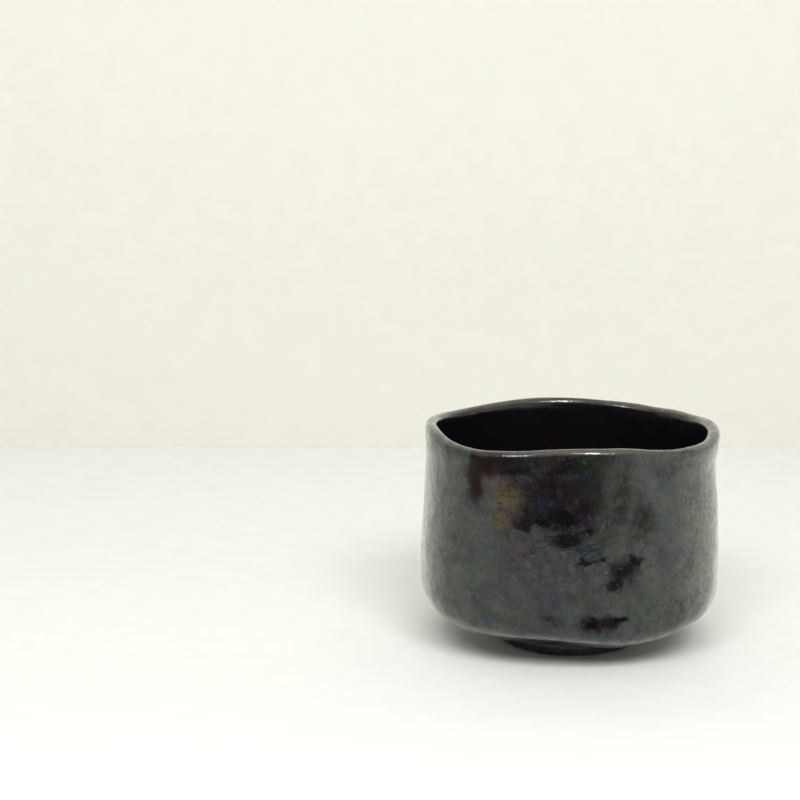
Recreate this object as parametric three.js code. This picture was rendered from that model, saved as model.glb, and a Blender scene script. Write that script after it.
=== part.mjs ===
// A hand-formed black tea bowl: a clay body on a separate foot ring, under one continuous coat of glaze.
// Millimetres, +Z up. The bowl stands on z = 0, centred over the origin, and its back is towards +Y.
import * as THREE from "three";

// Driving dimensions. Radii are from the bowl's axis, and heights are from the table.
const LIP_HEIGHT = 89.4; // mean height of the lip's ridge
const LIP_THICKNESS = 5.6; // the lip is a half circle of this diameter
const BOWL_RADIUS = 60.4; // the lip and the waist reach this far out
const LIP_ROOT = { radius: 60.1, height: 82 }; // where the lip's swelling begins
const NECK_RADIUS = 59.3; // the wall draws in this far under the lip
const NECK_HEIGHT = 74;
const WAIST_HEIGHT = 55;
const BELLY_RADIUS = 60.8;
const BELLY_HEIGHT = 35.5;
const CORNER = { radius: 58.6, height: 19.2 }; // where the wall turns under
const UNDERSIDE = { radius: 46.2, height: 11.9 }; // halfway from the corner to the foot

const WALL_THICKNESS = 6.2;
const INNER_CORNER = { radius: 51.5, height: 25 };
const FLOOR_EDGE = { radius: 41, height: 17 };
const TEA_POOL = { radius: 21, depth: 0.8 }; // the shallow dip in the middle of the floor
const FLOOR_HEIGHT = 12.2; // the lowest point inside

const FOOT_RADIUS = 29.3; // outside of the foot at the glaze's edge
const FOOT_WAIST = { radius: 29.9, height: 4 };
const FOOT_JOINT = { radius: 31.2, height: 6.3 }; // where the foot runs into the underside
const FOOT_WIDTH = 7; // width of the ring that stands on the table
const FOOT_LEAN = 0.6; // how much the inside of the ring leans inwards on its way up
const FOOT_CHAMFER = 0.5; // broken edges of the resting face

const GLAZE_THICKNESS = 0.8;
const GLAZE_EDGE_HEIGHT = 1.2; // the glaze stops this far above the table
const GAP = 0.3; // clearance between bodies of material that touch

const SEGMENTS = 48;
const STEPS_PER_SPAN = 2;
const LIP_STEPS = 4;

// The soft waves of a bowl that was shaped by hand. Each has a number of waves round the bowl, an amount,
// and the bearing of one crest in degrees, counted from +X towards +Y.
const RIM_HEIGHT_WAVES = [
  { waves: 1, amount: 0.2, crest: -43 },
  { waves: 4, amount: 1.2, crest: 6 },
];
const PLAN_WAVES = [{ waves: 4, amount: 1.0, crest: 57 }];
const LIP_WAVES = [{ waves: 1, amount: 0.6, crest: 0 }];
const BELLY_WAVES = [
  { waves: 1, amount: 0.2, crest: 109 },
  { waves: 2, amount: 0.7, crest: 31 },
  { waves: 3, amount: 1.5, crest: -31 },
];
// Places pushed further than the rest, each with an amount, a bearing and an angular spread.
const NECK_FILLS = [ // where the wall is hardly drawn in under the lip
  { amount: 1.0, bearing: 265, spread: 45 },
  { amount: 0.5, bearing: 190, spread: 35 },
];
const UNDERSIDE_SAGS = [ // where the underside was pared less and hangs lower
  { amount: 2.6, bearing: 70, spread: 32 },
  { amount: 2.0, bearing: 145, spread: 28 },
  { amount: 2.9, bearing: 223, spread: 26 },
  { amount: 3.6, bearing: 300, spread: 26 },
  { amount: 1.2, bearing: 337, spread: 26 },
];
// Where the waves act. The foot stays round and its resting face flat.
const FOOT_ZONE = { stillBelow: 2, fullFrom: 22, stillRadius: 30, fullRadius: 44 };
const LIP_ZONE = { middle: 92, spread: 9 };
const NECK_ZONE = { middle: 72.5, spread: 8.5 };
const BELLY_ZONE = { middle: 28, spread: 18 };
const UNDERSIDE_ZONE = { middle: 12, spread: 8 };

const point = (radius, height) => new THREE.Vector2(radius, height);
const at = (place) => point(place.radius, place.height);

// A soft hump, 1 at the middle of a zone and fading out over its spread.
const hump = (offset, spread) => Math.exp(-((offset / spread) ** 2));
const heightHump = (height, zone) => hump(height - zone.middle, zone.spread);

function sumWaves(waveList, bearing) {
  let sum = 0;
  for (const wave of waveList) {
    sum += wave.amount * Math.cos(wave.waves * THREE.MathUtils.degToRad(bearing - wave.crest));
  }
  return sum;
}

function sumPushes(pushList, bearing) {
  let sum = 0;
  for (const push of pushList) {
    const turned = THREE.MathUtils.euclideanModulo(bearing - push.bearing + 180, 360) - 180;
    sum += push.amount * hump(turned, push.spread);
  }
  return sum;
}

// Moves each point of the even, turned bowl to where the hands have pushed it.
function formByHand(geometry) {
  const place = geometry.getAttribute("position");
  for (let i = 0; i < place.count; i++) {
    const x = place.getX(i);
    const y = place.getY(i);
    const z = place.getZ(i);
    const radius = Math.hypot(x, y);
    const bearing = THREE.MathUtils.radToDeg(Math.atan2(y, x));

    const aboveFoot = THREE.MathUtils.smoothstep(z, FOOT_ZONE.stillBelow, FOOT_ZONE.fullFrom);
    const aroundFoot = THREE.MathUtils.smoothstep(radius, FOOT_ZONE.stillRadius, FOOT_ZONE.fullRadius);
    const offAxis = Math.min(1, radius / FOOT_ZONE.stillRadius);
    const towardsRim = THREE.MathUtils.smoothstep(z, 0, LIP_HEIGHT) * offAxis;

    const lipSwell = sumWaves(LIP_WAVES, bearing) * heightHump(z, LIP_ZONE);
    const neckSwell = sumPushes(NECK_FILLS, bearing) * heightHump(z, NECK_ZONE);
    const bellySwell = sumWaves(BELLY_WAVES, bearing) * heightHump(z, BELLY_ZONE);
    const swell = (sumWaves(PLAN_WAVES, bearing) + lipSwell + neckSwell + bellySwell) * aboveFoot;
    const sag = sumPushes(UNDERSIDE_SAGS, bearing) * heightHump(z, UNDERSIDE_ZONE) * aroundFoot;
    const lift = sumWaves(RIM_HEIGHT_WAVES, bearing) * towardsRim - sag;
    const scale = 1 + swell / BOWL_RADIUS;
    place.setXYZ(i, x * scale, y * scale, z + lift);
  }
  geometry.computeVertexNormals();
  return geometry;
}

// The lip's half circle, from its outer edge over the ridge to its inner edge.
function lipArc() {
  const lipRadius = LIP_THICKNESS / 2;
  const centre = point(BOWL_RADIUS - lipRadius, LIP_HEIGHT - lipRadius);
  const arc = [];
  for (let i = 0; i <= LIP_STEPS; i++) {
    const angle = (Math.PI * i) / LIP_STEPS;
    arc.push(point(centre.x + lipRadius * Math.cos(angle), centre.y + lipRadius * Math.sin(angle)));
  }
  return arc;
}

// The glazed surface as one line: from the glaze's edge on the foot, up the outside, over the lip,
// and down the inside to the middle of the floor.
function glazedLine() {
  const insideRadius = BOWL_RADIUS - WALL_THICKNESS;
  const curve = new THREE.SplineCurve([
    point(FOOT_RADIUS, GLAZE_EDGE_HEIGHT),
    at(FOOT_WAIST),
    at(FOOT_JOINT),
    at(UNDERSIDE),
    at(CORNER),
    point(BELLY_RADIUS, BELLY_HEIGHT),
    point(BOWL_RADIUS, WAIST_HEIGHT),
    point(NECK_RADIUS, NECK_HEIGHT),
    at(LIP_ROOT),
    ...lipArc(),
    point(LIP_ROOT.radius - LIP_THICKNESS, LIP_ROOT.height),
    point(insideRadius, NECK_HEIGHT),
    point(insideRadius, WAIST_HEIGHT),
    point(insideRadius, BELLY_HEIGHT),
    at(INNER_CORNER),
    at(FLOOR_EDGE),
    point(TEA_POOL.radius, FLOOR_HEIGHT + TEA_POOL.depth),
    point(0, FLOOR_HEIGHT),
  ]);
  return curve.getPoints(STEPS_PER_SPAN * (curve.points.length - 1));
}

// The glazed line moved into the material by a distance. Its last point stays on the axis.
function movedInwards(line, distance) {
  return line.map((here, i) => {
    if (i === line.length - 1) return point(0, here.y - distance);
    const before = line[Math.max(i - 1, 0)];
    const along = line[i + 1].clone().sub(before).normalize();
    return point(here.x - along.y * distance, here.y + along.x * distance);
  });
}

// Cuts a line that climbs from its first point at a height, into the points below and the points above.
function cutAt(line, height) {
  const i = line.findIndex((p) => p.y > height);
  const share = (height - line[i - 1].y) / (line[i].y - line[i - 1].y);
  const cut = line[i - 1].clone().lerp(line[i], share);
  return { below: [...line.slice(0, i), cut], above: [cut, ...line.slice(i)] };
}

// A solid of revolution that is then formed by hand.
function piece(name, profile, material) {
  const geometry = new THREE.LatheGeometry(profile, SEGMENTS).rotateX(Math.PI / 2);
  const mesh = new THREE.Mesh(formByHand(geometry), material);
  mesh.name = name;
  return mesh;
}

// The coat's hidden side runs out from the axis, and its glazed side runs back to the axis.
function glazeCoat(glazed) {
  const hidden = movedInwards(glazed, GLAZE_THICKNESS).reverse();
  const glaze = new THREE.MeshStandardMaterial({ color: 0x141416, roughness: 0.15, metalness: 0 });
  return piece("glaze_coat", [...hidden, ...glazed], glaze);
}

// The wall and floor. Underneath, inside the foot, the clay is flat.
function clayBody(claySurface) {
  const bottom = FOOT_JOINT.height - GAP;
  const clay = new THREE.MeshStandardMaterial({ color: 0x3a302b, roughness: 0.9, metalness: 0 });
  return piece("clay_body", [point(0, bottom), ...cutAt(claySurface, bottom).above], clay);
}

// The ring that the bowl stands on, bare on its resting face.
function footRing(claySurface) {
  const top = FOOT_JOINT.height - 2 * GAP;
  const outside = claySurface[0].x;
  const inside = outside - FOOT_WIDTH;
  const profile = [
    point(inside + FOOT_CHAMFER, 0),
    point(outside - FOOT_CHAMFER, 0),
    point(outside, FOOT_CHAMFER),
    ...cutAt(claySurface, top).below,
    point(inside - FOOT_LEAN, top),
    point(inside, FOOT_CHAMFER),
    point(inside + FOOT_CHAMFER, 0),
  ];
  const clay = new THREE.MeshStandardMaterial({ color: 0x332a27, roughness: 0.9, metalness: 0 });
  return piece("foot_ring", profile, clay);
}

const glazed = glazedLine();
const claySurface = movedInwards(glazed, GLAZE_THICKNESS + GAP);

const bowl = new THREE.Group();
bowl.add(clayBody(claySurface), footRing(claySurface), glazeCoat(glazed));

const middle = new THREE.Box3().setFromObject(bowl).getCenter(new THREE.Vector3());
bowl.position.set(-middle.x, -middle.y, 0);

export default bowl;
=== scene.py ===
"""A black matcha bowl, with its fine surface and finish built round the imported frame.

Blender works in metres, +Z up, with the bowl's back towards +Y. The bowl's outline is drawn in millimetres,
as in the part's own source, and turned into metres as it becomes a mesh.
"""

import math
from types import SimpleNamespace

import bpy
import numpy as np
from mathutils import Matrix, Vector, noise


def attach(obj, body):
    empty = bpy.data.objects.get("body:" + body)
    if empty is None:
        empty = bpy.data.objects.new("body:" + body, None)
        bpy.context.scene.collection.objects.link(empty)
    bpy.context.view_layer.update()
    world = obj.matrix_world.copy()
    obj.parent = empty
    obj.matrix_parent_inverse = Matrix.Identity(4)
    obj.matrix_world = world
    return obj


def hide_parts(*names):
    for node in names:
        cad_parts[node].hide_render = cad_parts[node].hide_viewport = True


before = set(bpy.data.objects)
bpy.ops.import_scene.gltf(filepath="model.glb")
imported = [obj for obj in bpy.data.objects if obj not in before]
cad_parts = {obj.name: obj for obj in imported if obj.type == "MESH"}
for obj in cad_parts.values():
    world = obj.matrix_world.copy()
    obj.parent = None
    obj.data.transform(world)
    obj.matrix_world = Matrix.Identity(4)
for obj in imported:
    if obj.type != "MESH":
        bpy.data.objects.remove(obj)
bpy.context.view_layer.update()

MM = 0.001

# ---------------------------------------------------------------- the bowl's outline, in millimetres

# Driving dimensions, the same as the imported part's. A pair is (radius, height).
LIP_HEIGHT = 89.4
LIP_THICKNESS = 5.6
BOWL_RADIUS = 60.4
LIP_ROOT = (60.1, 82)
NECK = (59.3, 74)
WAIST_HEIGHT = 55
BELLY = (60.8, 35.5)
CORNER = (58.6, 19.2)
UNDERSIDE = (46.2, 11.9)
WALL_THICKNESS = 6.2
INNER_CORNER = (51.5, 25)
FLOOR_EDGE = (41, 17)
TEA_POOL_RADIUS = 21
TEA_POOL_DEPTH = 0.8
FLOOR_HEIGHT = 12.2
FOOT_RADIUS = 29.3
FOOT_WAIST = (29.9, 4)
FOOT_JOINT = (31.2, 6.3)
FOOT_WIDTH = 7
FOOT_LEAN = 0.6
GLAZE_THICKNESS = 0.8
GLAZE_EDGE_HEIGHT = 1.2
GAP = 0.3
CLAY_DEPTH = GLAZE_THICKNESS + GAP
LIP_STEPS = 4

# The hand-formed waves: (waves round the bowl, amount, bearing of a crest in degrees).
RIM_HEIGHT_WAVES = [(1, 0.2, -43), (4, 1.2, 6)]
PLAN_WAVES = [(4, 1.0, 57)]
LIP_WAVES = [(1, 0.6, 0)]
BELLY_WAVES = [(1, 0.2, 109), (2, 0.7, 31), (3, 1.5, -31)]
# Places pushed further than the rest: (amount, bearing, spread).
NECK_FILLS = [(1.0, 265, 45), (0.5, 190, 35)]
UNDERSIDE_SAGS = [(2.6, 70, 32), (2.0, 145, 28), (2.9, 223, 26), (3.6, 300, 26), (1.2, 337, 26)]
# Where the waves act: heights as (middle, spread), and the ramps away from the foot.
LIP_ZONE = (92, 9)
NECK_ZONE = (72.5, 8.5)
BELLY_ZONE = (28, 18)
UNDERSIDE_ZONE = (12, 8)
FOOT_HEIGHT_RAMP = (2, 22)
FOOT_RADIUS_RAMP = (30, 44)

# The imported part's own division of the surface, which fixes where its middle is.
CAD_SEGMENTS = 48
CAD_STEPS_PER_SPAN = 2


def smoothstep(value, low, high):
    share = np.clip((value - low) / (high - low), 0, 1)
    return share * share * (3 - 2 * share)


def hump(offset, spread):
    return np.exp(-((offset / spread) ** 2))


def height_hump(height, zone):
    middle, spread = zone
    return hump(height - middle, spread)


def sum_waves(waves, bearing):
    return sum(amount * np.cos(count * np.radians(bearing - crest)) for count, amount, crest in waves)


def sum_pushes(pushes, bearing):
    turned = [(amount, (bearing - middle + 180) % 360 - 180, spread) for amount, middle, spread in pushes]
    return sum(amount * hump(offset, spread) for amount, offset, spread in turned)


def lip_arc():
    """The lip's half circle, from its outer edge over the ridge to its inner edge."""
    radius = LIP_THICKNESS / 2
    angles = [math.pi * i / LIP_STEPS for i in range(LIP_STEPS + 1)]
    middle = (BOWL_RADIUS - radius, LIP_HEIGHT - radius)
    return [(middle[0] + radius * math.cos(a), middle[1] + radius * math.sin(a)) for a in angles]


def outline_points():
    """The glazed surface's corners as (radius, height), up the outside, over the lip and down inside."""
    inside_radius = BOWL_RADIUS - WALL_THICKNESS
    return [
        (FOOT_RADIUS, GLAZE_EDGE_HEIGHT),
        FOOT_WAIST,
        FOOT_JOINT,
        UNDERSIDE,
        CORNER,
        BELLY,
        (BOWL_RADIUS, WAIST_HEIGHT),
        NECK,
        LIP_ROOT,
        *lip_arc(),
        (LIP_ROOT[0] - LIP_THICKNESS, LIP_ROOT[1]),
        (inside_radius, NECK[1]),
        (inside_radius, WAIST_HEIGHT),
        (inside_radius, BELLY[1]),
        INNER_CORNER,
        FLOOR_EDGE,
        (TEA_POOL_RADIUS, FLOOR_HEIGHT + TEA_POOL_DEPTH),
        (0, FLOOR_HEIGHT),
    ]


def smooth_line(corners, steps_of_span):
    """A uniform Catmull-Rom curve through the corners, with its own number of steps in each span."""
    p = np.array([corners[0], *corners, corners[-1]], float)
    line = []
    for i in range(len(corners) - 1):
        before, start, end, after = p[i : i + 4]
        start_slope = (end - before) / 2
        end_slope = (after - start) / 2
        steps = steps_of_span(math.dist(start, end))
        for t in np.arange(steps) / steps:
            cubic = (2 * start - 2 * end + start_slope + end_slope) * t**3
            square = (3 * end - 3 * start - 2 * start_slope - end_slope) * t**2
            line.append(cubic + square + start_slope * t + start)
    line.append(p[-1])
    return np.array(line)


def formed_by_hand(radius, height, bearing):
    """Moves the points of the even, turned bowl to where the hands have pushed them."""
    above_foot = smoothstep(height, *FOOT_HEIGHT_RAMP)
    around_foot = smoothstep(radius, *FOOT_RADIUS_RAMP)
    towards_rim = smoothstep(height, 0, LIP_HEIGHT) * np.minimum(1, radius / FOOT_RADIUS_RAMP[0])
    lip_swell = sum_waves(LIP_WAVES, bearing) * height_hump(height, LIP_ZONE)
    neck_swell = sum_pushes(NECK_FILLS, bearing) * height_hump(height, NECK_ZONE)
    belly_swell = sum_waves(BELLY_WAVES, bearing) * height_hump(height, BELLY_ZONE)
    swell = sum_waves(PLAN_WAVES, bearing) + lip_swell + neck_swell + belly_swell
    sag = sum_pushes(UNDERSIDE_SAGS, bearing) * height_hump(height, UNDERSIDE_ZONE) * around_foot
    lift = sum_waves(RIM_HEIGHT_WAVES, bearing) * towards_rim - sag
    spread_radius = radius * (1 + swell * above_foot / BOWL_RADIUS)
    turn = np.radians(bearing)
    return np.stack([spread_radius * np.cos(turn), spread_radius * np.sin(turn), height + lift], -1)


def bearings(columns):
    """The bearing of each column round the bowl, in degrees."""
    return np.arange(columns) * 360 / columns


def skin_grid(line, columns):
    """Rows of the outline by columns round the bowl, as points."""
    return formed_by_hand(line[:, :1], line[:, 1:], bearings(columns)[None, :])


def cad_middle():
    """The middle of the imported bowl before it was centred, from the same outline in coarse steps."""
    coarse = skin_grid(smooth_line(outline_points(), lambda length: CAD_STEPS_PER_SPAN), CAD_SEGMENTS)
    flat = coarse.reshape(-1, 3)
    middle = (flat.min(0) + flat.max(0)) / 2
    return np.array([middle[0], middle[1], 0])


CAD_MIDDLE = cad_middle()

# ---------------------------------------------------------------- the fine surface, in millimetres

COLUMNS = 384
ROW_STEP = 1.35
FEWEST_ROWS = 3  # in one span of the outline
LIP_ROW_STEPS = 4

# Unevenness left by the hands and the fire: (height, length of a wave, stretch along the height, seed).
LUMPS = [
    (-0.56, 34, 1.3, 98.3),
    (-0.34, 15, 1.0, 30.5),
    (0.10, 7.5, 0.75, 23.9),
]
LUMP_RAMP = (1.5, 12)
# Where the glaze ran thicker: (thickness, bearing, spread in degrees, height, spread in height).
THICK_GLAZE = [(0.25, 265, 50, 78, 4.5), (0.22, 262, 32, 62, 5)]
LIP_THICKNESS_WAVES = [(3, 0.18, 40), (5, 0.14, -15), (9, 0.07, 80)]
LIP_SWELL_ZONE = (89.5, 3)
GLAZE_EDGE_WAVES = [(2, 0.25, 10), (5, 0.22, 70), (11, 0.12, -25), (23, 0.07, 5)]
GLAZE_EDGE_RAMP = (1.2, 4.5)


def rows_of_span(length):
    on_lip = length < LIP_THICKNESS / 2
    return LIP_ROW_STEPS if on_lip else max(FEWEST_ROWS, round(length / ROW_STEP))


def skin_normals(skin):
    """Unit normals out of the material. The last row lies on the axis, where the floor faces up."""
    round_the_bowl = np.roll(skin, -1, axis=1) - np.roll(skin, 1, axis=1)
    along_the_line = np.gradient(skin, axis=0)
    normals = np.cross(round_the_bowl, along_the_line)
    normals[-1] = (0, 0, 1)
    return normals / np.linalg.norm(normals, axis=2, keepdims=True)


def lump_heights(skin):
    """How far the unevenness stands out at each point of the skin."""
    heights = np.zeros(skin.shape[:2])
    for height, length, stretch, seed in LUMPS:
        places = skin / (length, length, length * stretch) + seed
        found = [noise.noise(Vector(place)) for place in places.reshape(-1, 3)]
        heights += height * np.array(found).reshape(heights.shape)
    return heights * smoothstep(skin[..., 2], *LUMP_RAMP)


def thick_glaze(height, bearing):
    """How much thicker the glaze ran, at heights down the rows and bearings along the columns."""
    total = 0
    for thickness, middle, spread, middle_height, height_spread in THICK_GLAZE:
        across = sum_pushes([(thickness, middle, spread)], bearing)
        total = total + across[None, :] * height_hump(height, (middle_height, height_spread))
    return total


def fine_skin():
    """The glazed surface with all its unevenness, and its normals."""
    line = smooth_line(outline_points(), rows_of_span)
    height = line[:, 1:]
    bearing = bearings(COLUMNS)
    skin = skin_grid(line, COLUMNS)
    on_outside = (np.arange(len(line)) < len(line) // 2)[:, None]
    edge_share = 1 - smoothstep(height, *GLAZE_EDGE_RAMP)
    skin[..., 2] += sum_waves(GLAZE_EDGE_WAVES, bearing)[None, :] * edge_share * on_outside
    lip_swell = sum_waves(LIP_THICKNESS_WAVES, bearing)[None, :] * height_hump(height, LIP_SWELL_ZONE)
    heights = lump_heights(skin) + lip_swell + thick_glaze(height, bearing) * on_outside
    heights[-1] = heights[-1].mean()
    skin = skin + skin_normals(skin) * heights[..., None]
    return skin, skin_normals(skin)


def lofted(name, rings, material, closed=False):
    """A smooth-shaded solid from rings of points in millimetres. A ring of one point is a pole."""
    points = np.concatenate(rings)
    starts = np.cumsum([0] + [len(ring) for ring in rings])
    pairs = [(i, i + 1) for i in range(len(rings) - 1)]
    if closed:
        pairs.append((len(rings) - 1, 0))
    faces = []
    for a, b in pairs:
        columns = max(len(rings[a]), len(rings[b]))
        for c in range(columns):
            d = (c + 1) % columns
            corners = [starts[b] + d, starts[b] + c] if len(rings[b]) > 1 else [starts[b]]
            corners += [starts[a] + c, starts[a] + d] if len(rings[a]) > 1 else [starts[a]]
            faces.append([int(corner) for corner in corners])
    mesh = bpy.data.meshes.new(name)
    mesh.from_pydata(((points - CAD_MIDDLE) * MM).tolist(), [], faces)
    mesh.shade_smooth()
    mesh.materials.append(material)
    piece = bpy.data.objects.new(name, mesh)
    bpy.context.scene.collection.objects.link(piece)
    return piece


# ---------------------------------------------------------------- the pieces, in millimetres

HIDDEN_EVERY = 4  # the coat's hidden side keeps one row in this many
CLAY_EVERY = 2
CLAY_CUT_HEIGHT = FOOT_JOINT[1] - GAP
FOOT_OUTSIDE = FOOT_RADIUS - CLAY_DEPTH
FOOT_INSIDE = FOOT_OUTSIDE - FOOT_WIDTH
FOOT_TOP_GAP = 0.05
FOOT_FILLET = 1.2
FOOT_EDGE_ROUNDING = 0.7
FOOT_WEAR = (0.22, 7)  # height and length of a wave
ROUND_STEPS = 5
RECESS_ROW_STEP = 0.5
SPIRAL_PITCH = 4.2
SPIRAL_DEPTH = 0.22
SPIRAL_STARTS = (1.5, 5)  # radii over which the spiral deepens
SPIRAL_ENDS = (16, 20)  # and over which it fades out


def as_circle(radius, height):
    """One ring of the bowl's columns, before any unevenness."""
    turn = np.radians(bearings(COLUMNS))
    return np.stack([radius * np.cos(turn), radius * np.sin(turn), height + 0 * turn], -1)


def make_glaze(skin, normals, material):
    """The coat: its hidden side from the axis out to the foot, a rolled edge, and its glazed side back."""
    hidden = skin - normals * GLAZE_THICKNESS
    hidden_rows = hidden[:-1:HIDDEN_EVERY][::-1]
    middle = (skin[0] + hidden[0]) / 2
    across = (skin[0] - hidden[0]) / 2
    half_width = np.linalg.norm(across, axis=1, keepdims=True)
    down = skin[0] - skin[1]
    down = down / np.linalg.norm(down, axis=1, keepdims=True) * half_width
    angles = [math.pi * (1 - i / (ROUND_STEPS + 1)) for i in range(1, ROUND_STEPS + 1)]
    rolled = [middle + across * math.cos(a) + down * math.sin(a) for a in angles]
    return lofted("glaze", [hidden[-1][:1], *hidden_rows, *rolled, *skin[:-1], skin[-1][:1]], material)


def ring_at_height(rows, height):
    """The ring where rows that climb cross a height, and the number of the first row above it."""
    above = next(i for i, row in enumerate(rows) if row[:, 2].min() > height)
    low = rows[above - 1]
    high = rows[above]
    share = (height - low[:, 2:]) / (high[:, 2:] - low[:, 2:])
    return low + (high - low) * share, above


def recess_rows():
    """The ceiling of the foot's recess from the axis outwards, with the shallow spiral of its carving."""
    rows = []
    turns = np.arange(COLUMNS) / COLUMNS
    for radius in np.arange(RECESS_ROW_STEP, FOOT_INSIDE, RECESS_ROW_STEP):
        row = as_circle(radius, CLAY_CUT_HEIGHT)
        groove = (1 - np.cos(2 * np.pi * (radius / SPIRAL_PITCH - turns))) / 2
        depth = SPIRAL_DEPTH * smoothstep(radius, *SPIRAL_STARTS) * (1 - smoothstep(radius, *SPIRAL_ENDS))
        row[:, 2] += groove * depth
        rows.append(row)
    return rows


def make_clay(skin, normals, material):
    """The wall and floor under the glaze, with the carved ceiling of the recess."""
    surface = skin - normals * CLAY_DEPTH
    cut, above = ring_at_height(surface, CLAY_CUT_HEIGHT)
    pole = np.array([[0, 0, CLAY_CUT_HEIGHT]])
    rows = surface[above:-1:CLAY_EVERY]
    return lofted("clay", [pole, *recess_rows(), cut, *rows, surface[-1][:1]], material)


def foot_profile(top):
    """The foot's bare outline as two lists of (radius, height): its lower outer edge, and its inside."""
    rounding = FOOT_EDGE_ROUNDING
    fillet_radius = FOOT_INSIDE - FOOT_LEAN - FOOT_FILLET
    fillet_height = top - FOOT_FILLET
    outer_edge = []
    inner_edge = []
    fillet = []
    for i in range(ROUND_STEPS + 1):
        turn = math.pi / 2 * i / ROUND_STEPS
        along = math.sin(turn)
        across = math.cos(turn)
        outer_edge.append((FOOT_OUTSIDE - rounding + rounding * along, rounding - rounding * across))
        inner_edge.append((FOOT_INSIDE + rounding - rounding * across, rounding - rounding * along))
        fillet.append((fillet_radius + FOOT_FILLET * along, fillet_height + FOOT_FILLET * across))
    return outer_edge, [*fillet, *inner_edge]


def worn_circle(radius, height):
    """A level ring of the foot, moved in and out a little, as an unglazed foot is never quite round."""
    row = as_circle(radius, height)
    amount, length = FOOT_WEAR
    wear = np.array([amount * noise.noise(Vector(place) / length) for place in row])
    row[:, :2] *= (1 + wear / radius)[:, None]
    return row


def make_foot(skin, normals, material):
    """The ring that the bowl stands on: glazed outside, filleted inside, and bare where it rests."""
    surface = skin - normals * CLAY_DEPTH
    top = CLAY_CUT_HEIGHT - FOOT_TOP_GAP
    top_ring, above = ring_at_height(surface, top)
    outer_edge, inside = foot_profile(top)
    outer_rows = [worn_circle(*place) for place in outer_edge]
    inner_rows = [worn_circle(*place) for place in inside]
    return lofted("foot", [*outer_rows, *surface[:above], top_ring, *inner_rows], material, closed=True)


# ---------------------------------------------------------------- materials, in metres

BLACK = (0.0048, 0.0036, 0.0052, 1)
PLUM = (0.0140, 0.0075, 0.0125, 1)
MOSS = (0.0090, 0.0115, 0.0065, 1)
TEAL = (0.0068, 0.0105, 0.0145, 1)
OCHRE = (0.060, 0.047, 0.022, 1)
OLIVE = (0.016, 0.015, 0.007, 1)
RUSSET = (0.0175, 0.0100, 0.0092, 1)
# The brown of thin glaze over the lip, made paler as a painted sheen for the bright wall and ceiling that
# the rim mirrors.
LIP_BROWN_AND_PAINTED_SHEEN = (0.054, 0.049, 0.037, 1)
BLOOM_ROSE = (0.040, 0.040, 0.036, 1)
BLOOM_GREEN = (0.029, 0.043, 0.031, 1)
BLOOM_BLUE = (0.027, 0.036, 0.047, 1)
# A painted reflection: paler dust at the bowl's two sides, where the glaze mirrors the bright room at a
# glancing angle.
PAINTED_SIDE_REFLECTION = (0.145, 0.147, 0.118, 1)
# A painted glint: pale colour in the two pits, where the glaze sparkles.
PIT_PAINTED_GLINT = (0.055, 0.052, 0.042, 1)
CLAY_DARK = (0.060, 0.045, 0.037, 1)
CLAY_PALE = (0.130, 0.100, 0.080, 1)
CLAY_SPECK = (0.022, 0.018, 0.016, 1)

# Patterns: a noise as (size, detail, roughness), and its ramp as (from, to), or as those two and the levels
# that it then spans.
CLOUDS = ((8 * MM, 6, 0.62), (0.50, 0.62))
PLUM_CLOUDS = ((7 * MM, 6, 0.62), (0.44, 0.60))
BLOOM_WISPS = ((5 * MM, 6, 0.7), (0.48, 0.60))
BLOOM_PATCHES = ((12 * MM, 6, 0.62), (0.34, 0.60, 0.35, 1.1))
BLOOM_SPECKLES = ((1.6 * MM, 5, 0.75), (0.38, 0.62, 0.5, 1.3))
OCHRE_GRAIN = ((1.8 * MM, 5, 0.7), (0.36, 0.52))
OCHRE_BREAKS = ((2.6 * MM, 6, 0.75), (0.36, 0.52, 0.3, 1.0))
# These two patterns break up the painted dark reflection marks.
DARK_BREAKS = ((1.8 * MM, 5, 0.7), (0.32, 0.48, 0.2, 1.0))
DIM_BREAKS = ((3.5 * MM, 6, 0.7), (0.34, 0.56, 0.5, 1.0))
DULL_MOTTLE = ((4 * MM, 6, 0.7), (0.45, 0.57))
DULL_GRAIN = ((0.8 * MM, 3, 0.6), (0.38, 0.62))
GLAZE_ROUGHNESS = ((5 * MM, 4, 0.5), (0.3, 0.7, 0.12, 0.22))
CLAY_FIRING = ((9 * MM, 5, 0.6), (0.35, 0.68))
CLAY_ROUGHNESS = ((3 * MM, 3, 0.5), (0.3, 0.7, 0.72, 0.95))
STAGE_GRAIN = ((12 * MM, 3, 0.5), (0.3, 0.7))

# Reliefs: a noise, the relief's height, and its strength.
FLOW_RELIEF = ((4 * MM, 5, 0.55), 0.20 * MM, 0.8)
PEEL_RELIEF = ((0.8 * MM, 2, 0.5), 0.05 * MM, 0.9)
SAND_RELIEF = ((0.7 * MM, 4, 0.7), 0.12 * MM, 0.6)
PINHOLE_SPACING = 7.5 * MM
PINHOLE_RAMP = (0.02, 0.06)
PINHOLE_RELIEF = (0.06 * MM, 0.6)
PIT_RELIEF = (0.3 * MM, 1.0)
SPECK_SPACING = 2.6 * MM
SPECK_RAMP = (0.10, 0.20, 1.0, 0.0)
SPECK_RELIEF = (0.1 * MM, 0.5)

# What is ragged was moved about by a noise: (the noise's size, how far it moves things).
GLAZE_SHAKE = (5 * MM, 9 * MM)
SPECK_SHAKE = (1.2 * MM, 0.8 * MM)
SHAKE_DETAIL = 6
SHAKE_ROUGHNESS = 0.65
# Another part of the same noises, so that two patterns don't fall together.
ELSEWHERE = (0.31, 0.17, 0.53)
# The glaze flowed downwards, which draws its patterns out along the height.
FLOW_STRETCH = (1, 1, 0.8)
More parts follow.
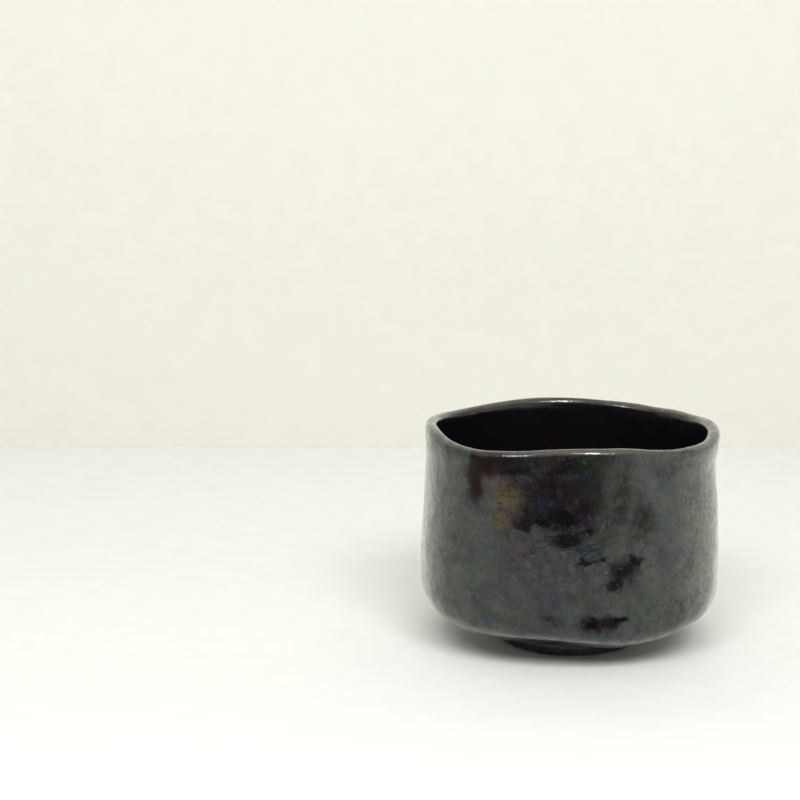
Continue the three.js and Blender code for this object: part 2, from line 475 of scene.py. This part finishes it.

# Marks in the glaze, by kind: how soft their edges are, and each mark as (bearing in degrees, height, half
# width and half height in millimetres). The bloom patches are left off where it is clear, and the bloom is
# full and paler where it is pale. The dark, dim and clear marks on the front are painted dark reflection,
# where the glaze mirrors the dark part of the room; the pale marks are a painted reflection at the two
# sides.
MARKS = {
    "ochre": (0.5, [(-112.5, 71, 6, 7), (-114.5, 63.5, 4, 4.2)]),
    "russet": (0.6, [(-125.5, 76, 4.2, 10), (-121, 82, 6, 5), (-75, 22.6, 3.4, 2.4)]),
    "scar": (0.5, [(-80, 21.8, 5, 3.4), (-74.5, 22.6, 4.8, 3.2), (-69.5, 23.6, 2.8, 1.8)]),
    # The dark marks are painted dark reflection: black spots where the glaze mirrors the dark part of the
    # room.
    "dark": (0.5, [
        (-105.5, 61.5, 4, 2.2),
        (-99, 63, 4, 1.8),
        (-92, 64, 6, 4),
        (-90, 56, 6, 3.6),
        (-83, 59, 2.5, 1.5),
        (-83.5, 47.5, 4, 1.6),
        (-77, 48.3, 2.6, 1.2),
        (-65.5, 47, 4, 2.4),
        (-69, 43.5, 6, 4.4),
        (-72, 38.5, 3.2, 3),
    ]),
    # The dim marks are painted dark reflection too: dimmed streaks and patches on the front and under the
    # lip.
    "dim": (0.9, [
        (-70.5, 74, 4.2, 14),
        (-62.5, 62, 6, 8),
        (-116, 83, 12, 5),
        (-88, 77, 14, 8),
        (-95.5, 23.5, 4.5, 2),
    ]),
    # The clear mark leaves the bloom patches off the front: a painted dark reflection.
    "clear": (0.8, [(-92, 62, 36, 42)]),
    # The pale marks at the two sides are a painted reflection of the bright room.
    "pale": (0.8, [(-14, 46, 32, 60), (-172, 34, 26, 44)]),
    # The pits are small reliefs with a painted pale glint.
    "pit": (0.8, [(-102.6, 49.6, 0.5, 0.6), (-76.1, 43.2, 0.6, 0.5)]),
}
MARK_DEPTH = 8 * MM  # half of how far a mark reaches through the wall
# How far each kind of mark is black metal, which mirrors little, and how much gloss it takes off the coat.
# On the scar and russet marks that is iron in the glaze; on the dark and dim marks it is painted dark
# reflection.
IRON_AND_PAINTED_DARK_SHARES = {"dark": 0.85, "dim": 0.6, "scar": 1.0, "russet": 1.0}
DULL_SHARES = {"dark": 0.9, "dim": 0.9, "scar": 0.9, "russet": 0.85, "ochre": 0.9}
MOTTLE_SHARE = 0.48
GRAIN_SHARE = 0.30
# How thick the bloom is in its wisps, and how much of it the dim marks take away as painted dark
# reflection.
WISP_SHARE = 0.6
DIM_SHARE = 0.7

# The glaze and its coat are both faint mirrors, and together they make one soft and one sharp reflection.
GLAZE_IOR = 1.35
COAT_IOR = 1.38
COAT_ROUGHNESS = 0.08
# The roughness of the iron marks and of the painted dark reflection marks.
IRON_AND_PAINTED_DARK_ROUGHNESS = 0.6
MATTE_IOR = 1.45

# Written at each of the glaze's points: how thin it runs over the lip's ridge, where its colour is partly a
# painted sheen, and how much bloom it has, left off the inside and faded down the foot as painted shade.
THIN_LIP_AND_PAINTED_SHEEN = "thin_lip_and_painted_sheen"
BLOOM_AND_PAINTED_SHADE = "bloom_and_painted_shade"
LIP_THIN_DEPTH = 1.4  # millimetres
# The bloom fades out down the foot, a painted shade under the bowl.
FOOT_PAINTED_SHADE_RAMP = (-14, 4)  # millimetres


class Graph:
    """A node tree written as calls. A value is a number, a colour, a vector or another node's output."""

    def __init__(self, tree):
        self.tree = tree
        tree.nodes.clear()

    def node(self, kind, **settings):
        made = self.tree.nodes.new(kind)
        for name, value in settings.items():
            setattr(made, name, value)
        return made

    def feed(self, socket, value):
        if isinstance(value, bpy.types.NodeSocket):
            self.tree.links.new(value, socket)
        else:
            socket.default_value = value

    def math(self, operation, a, b=0.0):
        made = self.node("ShaderNodeMath", operation=operation)
        self.feed(made.inputs[0], a)
        self.feed(made.inputs[1], b)
        return made.outputs[0]

    def times(self, a, b):
        return self.math("MULTIPLY", a, b)

    def remainder(self, share):
        """What a share leaves of the whole."""
        return self.math("SUBTRACT", 1.0, share)

    def most(self, *values):
        """The greatest of the values."""
        greatest = values[0]
        for value in values[1:]:
            greatest = self.math("MAXIMUM", greatest, value)
        return greatest

    def vector(self, operation, a, b=(0, 0, 0)):
        made = self.node("ShaderNodeVectorMath", operation=operation)
        self.feed(made.inputs[0], a)
        self.feed(made.inputs[1], b)
        return made.outputs["Value" if operation == "LENGTH" else "Vector"]

    def attribute(self, name):
        return self.node("ShaderNodeAttribute", attribute_name=name).outputs["Fac"]

    def noise(self, place, size, detail, roughness, output="Fac"):
        made = self.node("ShaderNodeTexNoise")
        self.feed(made.inputs["Vector"], place)
        made.inputs["Scale"].default_value = 1 / size
        made.inputs["Detail"].default_value = detail
        made.inputs["Roughness"].default_value = roughness
        return made.outputs[output]

    def cells(self, place, size):
        made = self.node("ShaderNodeTexVoronoi")
        self.feed(made.inputs["Vector"], place)
        made.inputs["Scale"].default_value = 1 / size
        return made.outputs["Distance"]

    def ramp(self, value, low, high, to_low=0.0, to_high=1.0):
        made = self.node("ShaderNodeMapRange", interpolation_type="SMOOTHSTEP")
        self.feed(made.inputs["Value"], value)
        for name, number in zip(("From Min", "From Max", "To Min", "To Max"), (low, high, to_low, to_high)):
            made.inputs[name].default_value = number
        return made.outputs["Result"]

    def pattern(self, place, pattern):
        of_noise, of_ramp = pattern
        return self.ramp(self.noise(place, *of_noise), *of_ramp)

    def mix(self, share, a, b):
        """Colour a turning into colour b. A Mix node's colours are its inputs 6 and 7 and its output 2."""
        made = self.node("ShaderNodeMix", data_type="RGBA")
        self.feed(made.inputs[0], share)
        self.feed(made.inputs[6], a)
        self.feed(made.inputs[7], b)
        return made.outputs[2]

    def shaken(self, place, size, amount):
        """The place moved about by a noise, so that what is drawn from it gets ragged edges."""
        shake = self.noise(place, size, SHAKE_DETAIL, SHAKE_ROUGHNESS, "Color")
        moved = self.vector("SUBTRACT", shake, (0.5, 0.5, 0.5))
        return self.vector("ADD", place, self.vector("MULTIPLY", moved, (amount, amount, amount)))

    def marks(self, place, soft, marks):
        """1 inside the marks on the bowl's wall and 0 outside, with soft edges."""
        total = 0.0
        radius = BOWL_RADIUS * MM
        for bearing, height, half_width, half_height in marks:
            turn = math.radians(bearing)
            middle = (radius * math.cos(turn), radius * math.sin(turn), height * MM)
            made = self.node("ShaderNodeMapping", vector_type="TEXTURE")
            self.feed(made.inputs["Vector"], place)
            made.inputs["Location"].default_value = middle
            made.inputs["Rotation"].default_value = (0, 0, turn)
            made.inputs["Scale"].default_value = (MARK_DEPTH, half_width * MM, half_height * MM)
            distance = self.vector("LENGTH", made.outputs["Vector"])
            total = self.most(total, self.ramp(distance, 1 - soft, 1 + soft, 1.0, 0.0))
        return total

    def bump(self, height, distance, strength, normal=None):
        made = self.node("ShaderNodeBump")
        self.feed(made.inputs["Height"], height)
        made.inputs["Distance"].default_value = distance
        made.inputs["Strength"].default_value = strength
        if normal is not None:
            self.feed(made.inputs["Normal"], normal)
        return made.outputs["Normal"]

    def relief(self, place, relief, normal=None):
        of_noise, height, strength = relief
        return self.bump(self.noise(place, *of_noise), height, strength, normal)


def new_material(name, ior):
    material = bpy.data.materials.new(name)
    material.use_nodes = True
    graph = Graph(material.node_tree)
    shader = graph.node("ShaderNodeBsdfPrincipled")
    output = graph.node("ShaderNodeOutputMaterial")
    graph.feed(output.inputs["Surface"], shader.outputs[0])
    shader.inputs["IOR"].default_value = ior
    place = graph.node("ShaderNodeTexCoord").outputs["Object"]
    return material, graph, shader, place


def glaze_marks(graph, where):
    """How much of each kind of mark is at a place."""
    marks = {kind: graph.marks(where.ragged, *MARKS[kind]) for kind in MARKS if kind != "pit"}
    marks["pit"] = graph.marks(where.plain, *MARKS["pit"])
    # The dark and dim marks, painted dark reflection, are broken up by noise.
    marks["dark"] = graph.times(marks["dark"], graph.pattern(where.plain, DARK_BREAKS))
    marks["dim"] = graph.times(marks["dim"], graph.pattern(where.elsewhere, DIM_BREAKS))
    marks["ochre"] = graph.times(marks["ochre"], graph.pattern(where.elsewhere, OCHRE_BREAKS))
    return marks


def glaze_colour(graph, where, marks):
    """Black, clouded plum, moss and teal, under a bloom as thin as dust, with the marks over it; the plain
    black inside is painted shade.
    """
    # The bloom share is 0 inside and lower down the foot: the plain black there is painted shade.
    bloom_and_painted_shade = graph.attribute(BLOOM_AND_PAINTED_SHADE)
    moss = graph.pattern(where.plain, CLOUDS)
    teal = graph.pattern(where.elsewhere, CLOUDS)
    plum = graph.pattern(where.ragged, PLUM_CLOUDS)
    colour = BLACK
    for cloud, tint in ((plum, PLUM), (moss, MOSS), (teal, TEAL)):
        colour = graph.mix(graph.times(cloud, bloom_and_painted_shade), colour, tint)

    # The clear mark leaves the bloom patches off the front, a painted dark reflection where the glaze
    # mirrors the dark part of the room.
    patches = graph.times(graph.remainder(marks["clear"]), graph.pattern(where.flowing, BLOOM_PATCHES))
    wisps = graph.times(graph.pattern(where.ragged, BLOOM_WISPS), WISP_SHARE)
    # The bloom is full in the pale marks, a painted reflection at the sides, and less in the dim marks, a
    # painted dark reflection.
    bloom_and_painted_light = graph.most(patches, wisps, marks["pale"])
    bloom_and_painted_light = graph.times(bloom_and_painted_light, graph.remainder(graph.times(marks["dim"], DIM_SHARE)))
    bloom_and_painted_light = graph.times(bloom_and_painted_light, graph.pattern(where.plain, BLOOM_SPECKLES))
    dust_and_painted_sheen = graph.mix(teal, graph.mix(moss, BLOOM_ROSE, BLOOM_GREEN), BLOOM_BLUE)
    # At the pale marks the dust turns to a painted reflection.
    dust_and_painted_sheen = graph.mix(marks["pale"], dust_and_painted_sheen, PAINTED_SIDE_REFLECTION)
    colour = graph.mix(graph.times(bloom_and_painted_light, bloom_and_painted_shade), colour, dust_and_painted_sheen)
    # The lip's colour is partly thin glaze and partly a painted sheen.
    colour = graph.mix(graph.attribute(THIN_LIP_AND_PAINTED_SHEEN), colour, LIP_BROWN_AND_PAINTED_SHEEN)

    ochres = graph.mix(graph.pattern(where.plain, OCHRE_GRAIN), OLIVE, OCHRE)
    # Black in the dark marks is painted dark reflection and pale in the pits a painted glint; the ochre,
    # russet and scar are the glaze's own colour.
    tints = {"ochre": ochres, "dark": BLACK, "scar": BLACK, "russet": RUSSET, "pit": PIT_PAINTED_GLINT}
    for kind, tint in tints.items():
        colour = graph.mix(marks[kind], colour, tint)
    return colour


def set_glaze_gloss(graph, shader, where, marks):
    """Makes the coat's gloss mottled and grainy, and leaves almost none on the iron marks and the painted
    dark reflection marks.
    """
    # Black metal in the scar and russet is iron; in the dark and dim marks it is painted dark reflection.
    iron_and_painted_dark = graph.most(*(graph.times(marks[kind], share) for kind, share in IRON_AND_PAINTED_DARK_SHARES.items()))
    roughness = graph.pattern(where.elsewhere, GLAZE_ROUGHNESS)
    mottle = graph.times(graph.pattern(where.flowing, DULL_MOTTLE), MOTTLE_SHARE)
    grain = graph.times(graph.pattern(where.plain, DULL_GRAIN), GRAIN_SHARE)
    dull_marks = [graph.times(marks[kind], share) for kind, share in DULL_SHARES.items()]
    dull = graph.most(graph.math("ADD", mottle, grain), *dull_marks)
    graph.feed(shader.inputs["Metallic"], iron_and_painted_dark)
    graph.feed(shader.inputs["Roughness"], graph.most(roughness, graph.times(iron_and_painted_dark, IRON_AND_PAINTED_DARK_ROUGHNESS)))
    graph.feed(shader.inputs["Coat Weight"], graph.remainder(dull))
    shader.inputs["Coat Roughness"].default_value = COAT_ROUGHNESS
    shader.inputs["Coat IOR"].default_value = COAT_IOR


def glaze_normal(graph, where, marks):
    """The glaze's flow, its fine peel, its pinholes and the pits."""
    normal = graph.relief(where.flowing, FLOW_RELIEF)
    normal = graph.relief(where.plain, PEEL_RELIEF, normal)
    pinholes = graph.ramp(graph.cells(where.plain, PINHOLE_SPACING), *PINHOLE_RAMP)
    normal = graph.bump(pinholes, *PINHOLE_RELIEF, normal)
    return graph.bump(marks["pit"], *PIT_RELIEF, normal)


def glaze_material():
    """A black glaze with clouds of colour, iron marks, painted dark reflection marks, and a bloom that
    greys it and dulls its gloss.
    """
    material, graph, shader, place = new_material("black_glaze", GLAZE_IOR)
    where = SimpleNamespace(
        plain=place,
        ragged=graph.shaken(place, *GLAZE_SHAKE),
        elsewhere=graph.vector("ADD", place, ELSEWHERE),
        flowing=graph.vector("MULTIPLY", place, FLOW_STRETCH),
    )
    marks = glaze_marks(graph, where)
    graph.feed(shader.inputs["Base Color"], glaze_colour(graph, where, marks))
    set_glaze_gloss(graph, shader, where, marks)
    normal = glaze_normal(graph, where, marks)
    graph.feed(shader.inputs["Normal"], normal)
    graph.feed(shader.inputs["Coat Normal"], normal)
    return material


def clay_material():
    """Dark fired clay: fine sand, paler grog and a few burnt specks, dry to the touch."""
    material, graph, shader, place = new_material("dark_clay", MATTE_IOR)
    colour = graph.mix(graph.pattern(place, CLAY_FIRING), CLAY_DARK, CLAY_PALE)
    specks = graph.ramp(graph.cells(graph.shaken(place, *SPECK_SHAKE), SPECK_SPACING), *SPECK_RAMP)
    graph.feed(shader.inputs["Base Color"], graph.mix(specks, colour, CLAY_SPECK))
    graph.feed(shader.inputs["Roughness"], graph.pattern(place, CLAY_ROUGHNESS))
    sand = graph.relief(place, SAND_RELIEF)
    graph.feed(shader.inputs["Normal"], graph.bump(specks, *SPECK_RELIEF, sand))
    return material


def mark_glaze(glaze, skin):
    """Writes the thin lip, partly a painted sheen, and the bloom at each of the glaze's points.

    The bloom is all over the outside, fades out on the foot and is left off the inside, both as painted
    shade.
    """
    mesh = glaze.data
    places = np.zeros(len(mesh.vertices) * 3)
    mesh.vertices.foreach_get("co", places)
    places = places.reshape(-1, 3) / MM
    bearing = np.degrees(np.arctan2(places[:, 1], places[:, 0]))
    ridge = LIP_HEIGHT + sum_waves(RIM_HEIGHT_WAVES, bearing)
    thin_and_sheen = smoothstep(places[:, 2], ridge - LIP_THIN_DEPTH, ridge)
    rows_inside = len(skin) - 1 - skin[..., 2].mean(axis=1).argmax()
    # The bloom fades out down the foot and is left off the inside: painted shade under and inside the bowl.
    bloom_and_painted_shade = smoothstep(places[:, 2], *FOOT_PAINTED_SHADE_RAMP)
    bloom_and_painted_shade[-rows_inside * COLUMNS :] = 0
    for name, values in ((THIN_LIP_AND_PAINTED_SHEEN, thin_and_sheen), (BLOOM_AND_PAINTED_SHADE, bloom_and_painted_shade)):
        mesh.attributes.new(name, "FLOAT", "POINT").data.foreach_set("value", values.astype(np.float32))


# ---------------------------------------------------------------- the studio, in metres

CAMERA_DISTANCE = 0.7431
CAMERA_HEIGHT = 0.2351
CAMERA_LOOKS_DOWN = math.radians(10.41)
CAMERA_LOOKS_LEFT = math.radians(5.35)
CAMERA_LENS = 83.25
CAMERA_SENSOR = 36
WALL_DISTANCE = 1.118
STAGE_HALF_WIDTH = 2.6
WALL_HEIGHT = 2.2
# Where the table ends as the glaze mirrors it: its Y straight in front of the bowl, and its slope.
TABLE_FRONT = -0.26
TABLE_FRONT_SLOPE = 0.08

FLOOR_COLOUR = (0.88, 0.885, 0.85, 1)
WALL_COLOUR = (0.765, 0.76, 0.685, 1)
STAGE_PALER = 1.02
STAGE_ROUGHNESS = 0.8
STAGE_SPECULAR = 0.1

STUDIO_FILL = (0.36, 0.36, 0.36, 1)
# The room as the glaze mirrors it. Its dark part is behind the camera, in degrees right of it and above it.
ROOM_PALE = (1.18, 1.17, 1.03, 1)
ROOM_TOP = (1.70, 1.72, 1.70, 1)
ROOM_DARK = (0.030, 0.027, 0.031, 1)
DARK_SECTOR = (-90, 26)
DARK_SECTOR_SOFTNESS = 7
DARK_TOP = (18, 32)
TOP_RAMP = (40, 65)

# Lights that face the bowl: (name, degrees right of the camera, elevation, distance, width, height, watts).
# The windows light the room and aren't mirrored. The glints are only mirrored.
WINDOWS = [
    ("window_left", -12, 42, 1.5, 0.6, 0.5, 9.4),
    ("window_right", 20, 42, 1.5, 0.6, 0.5, 11.0),
]
GLINTS = [
    ("glint_right", 22, 54, 1.2, 0.10, 0.42, 7.5),
    ("glint_left", -48, 48, 1.2, 0.18, 0.20, 3.6),
]


def looking_direction():
    ahead = math.cos(CAMERA_LOOKS_DOWN)
    return Vector((
        -math.sin(CAMERA_LOOKS_LEFT) * ahead,
        math.cos(CAMERA_LOOKS_LEFT) * ahead,
        -math.sin(CAMERA_LOOKS_DOWN),
    ))


def place_camera():
    data = bpy.data.cameras.new("camera")
    data.lens = CAMERA_LENS
    data.sensor_width = CAMERA_SENSOR
    camera = bpy.data.objects.new("camera", data)
    camera.location = (0, -CAMERA_DISTANCE, CAMERA_HEIGHT)
    camera.rotation_euler = looking_direction().to_track_quat("-Z", "Y").to_euler()
    bpy.context.scene.collection.objects.link(camera)
    bpy.context.scene.camera = camera


def stage_material(name, colour):
    """Pale and matte from its front, and clear from behind, so that it never hides the bowl."""
    material, graph, shader, place = new_material(name, MATTE_IOR)
    paler = tuple(min(1.0, STAGE_PALER * part) for part in colour)
    graph.feed(shader.inputs["Base Color"], graph.mix(graph.pattern(place, STAGE_GRAIN), colour, paler))
    shader.inputs["Roughness"].default_value = STAGE_ROUGHNESS
    shader.inputs["Specular IOR Level"].default_value = STAGE_SPECULAR
    clear = graph.node("ShaderNodeBsdfTransparent")
    choose = graph.node("ShaderNodeMixShader")
    graph.feed(choose.inputs[0], graph.node("ShaderNodeNewGeometry").outputs["Backfacing"])
    graph.feed(choose.inputs[1], shader.outputs[0])
    graph.feed(choose.inputs[2], clear.outputs[0])
    output = next(n for n in graph.tree.nodes if n.type == "OUTPUT_MATERIAL")
    graph.feed(output.inputs["Surface"], choose.outputs[0])
    return material


def stage_plane(name, corners, material):
    mesh = bpy.data.meshes.new(name)
    mesh.from_pydata([tuple(corner) for corner in corners], [], [(0, 1, 2, 3)])
    mesh.materials.append(material)
    plane = bpy.data.objects.new(name, mesh)
    bpy.context.scene.collection.objects.link(plane)
    return plane


def build_stage():
    """The table, the table nearer than its seen edge, which the glaze doesn't mirror, and the wall."""
    ahead = Vector((-math.sin(CAMERA_LOOKS_LEFT), math.cos(CAMERA_LOOKS_LEFT), 0))
    sideways = Vector((ahead.y, -ahead.x, 0))
    wall_foot = Vector((0, -CAMERA_DISTANCE, 0)) + ahead * WALL_DISTANCE
    left = wall_foot - sideways * STAGE_HALF_WIDTH
    right = wall_foot + sideways * STAGE_HALF_WIDTH
    up = Vector((0, 0, WALL_HEIGHT))
    front_edge = Vector((STAGE_HALF_WIDTH, TABLE_FRONT_SLOPE * STAGE_HALF_WIDTH, 0))
    left_front = Vector((0, TABLE_FRONT, 0)) - front_edge
    right_front = Vector((0, TABLE_FRONT, 0)) + front_edge
    back = Vector((0, 2 * STAGE_HALF_WIDTH, 0))
    near = Vector((0, -STAGE_HALF_WIDTH, 0))
    floor = stage_material("floor_paint", FLOOR_COLOUR)
    stage_plane("table", (left_front, right_front, right_front + back, left_front + back), floor)
    near_corners = (left_front + near, right_front + near, right_front, left_front)
    stage_plane("table_near", near_corners, floor).visible_glossy = False
    stage_plane("wall", (left, right, right + up, left + up), stage_material("wall_paint", WALL_COLOUR))


def light_room():
    """A pale room, whose glossy reflection has the dark part of the room behind the camera."""
    world = bpy.data.worlds.new("room")
    world.use_nodes = True
    graph = Graph(world.node_tree)
    parts = graph.node("ShaderNodeSeparateXYZ")
    graph.feed(parts.inputs[0], graph.node("ShaderNodeTexCoord").outputs["Generated"])
    x, y, z = parts.outputs
    side = graph.math("DEGREES", graph.math("ARCTAN2", x, graph.times(y, -1)))
    height = graph.math("DEGREES", graph.math("ARCSINE", z))
    left, right = DARK_SECTOR
    soft = DARK_SECTOR_SOFTNESS
    across = graph.times(
        graph.ramp(side, left - soft, left + soft),
        graph.ramp(side, right - soft, right + soft, 1.0, 0.0),
    )
    dark = graph.times(across, graph.ramp(height, *DARK_TOP, 1.0, 0.0))
    mirrored = graph.mix(graph.ramp(height, *TOP_RAMP), ROOM_PALE, ROOM_TOP)
    mirrored = graph.mix(dark, mirrored, ROOM_DARK)
    is_glossy = graph.node("ShaderNodeLightPath").outputs["Is Glossy Ray"]
    background = graph.node("ShaderNodeBackground")
    graph.feed(background.inputs["Color"], graph.mix(is_glossy, STUDIO_FILL, mirrored))
    output = graph.node("ShaderNodeOutputWorld")
    graph.feed(output.inputs["Surface"], background.outputs[0])
    bpy.context.scene.world = world


def area_light(name, side, elevation, distance, width, height, power):
    data = bpy.data.lights.new(name, "AREA")
    data.shape = "RECTANGLE"
    data.size = width
    data.size_y = height
    data.energy = power
    light = bpy.data.objects.new(name, data)
    turn = math.radians(side)
    rise = math.radians(elevation)
    away = Vector((math.sin(turn) * math.cos(rise), -math.cos(turn) * math.cos(rise), math.sin(rise)))
    light.location = away * distance
    light.rotation_euler = away.to_track_quat("Z", "Y").to_euler()
    light.visible_camera = False
    bpy.context.scene.collection.objects.link(light)
    return light


def place_lights():
    for window in WINDOWS:
        area_light(*window).visible_glossy = False
    for glint in GLINTS:
        area_light(*glint).visible_diffuse = False


place_camera()
build_stage()
light_room()
place_lights()
bpy.context.scene.view_settings.view_transform = "Standard"

skin, normals = fine_skin()
clay_finish = clay_material()
glaze = make_glaze(skin, normals, glaze_material())
mark_glaze(glaze, skin)
clay = make_clay(skin, normals, clay_finish)
foot = make_foot(skin, normals, clay_finish)

for piece, node, slot in (
    (glaze, "glaze_coat", "black_glaze"),
    (clay, "clay_body", "dark_clay"),
    (foot, "foot_ring", "dark_clay"),
):
    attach(piece, "root")
    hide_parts(node)
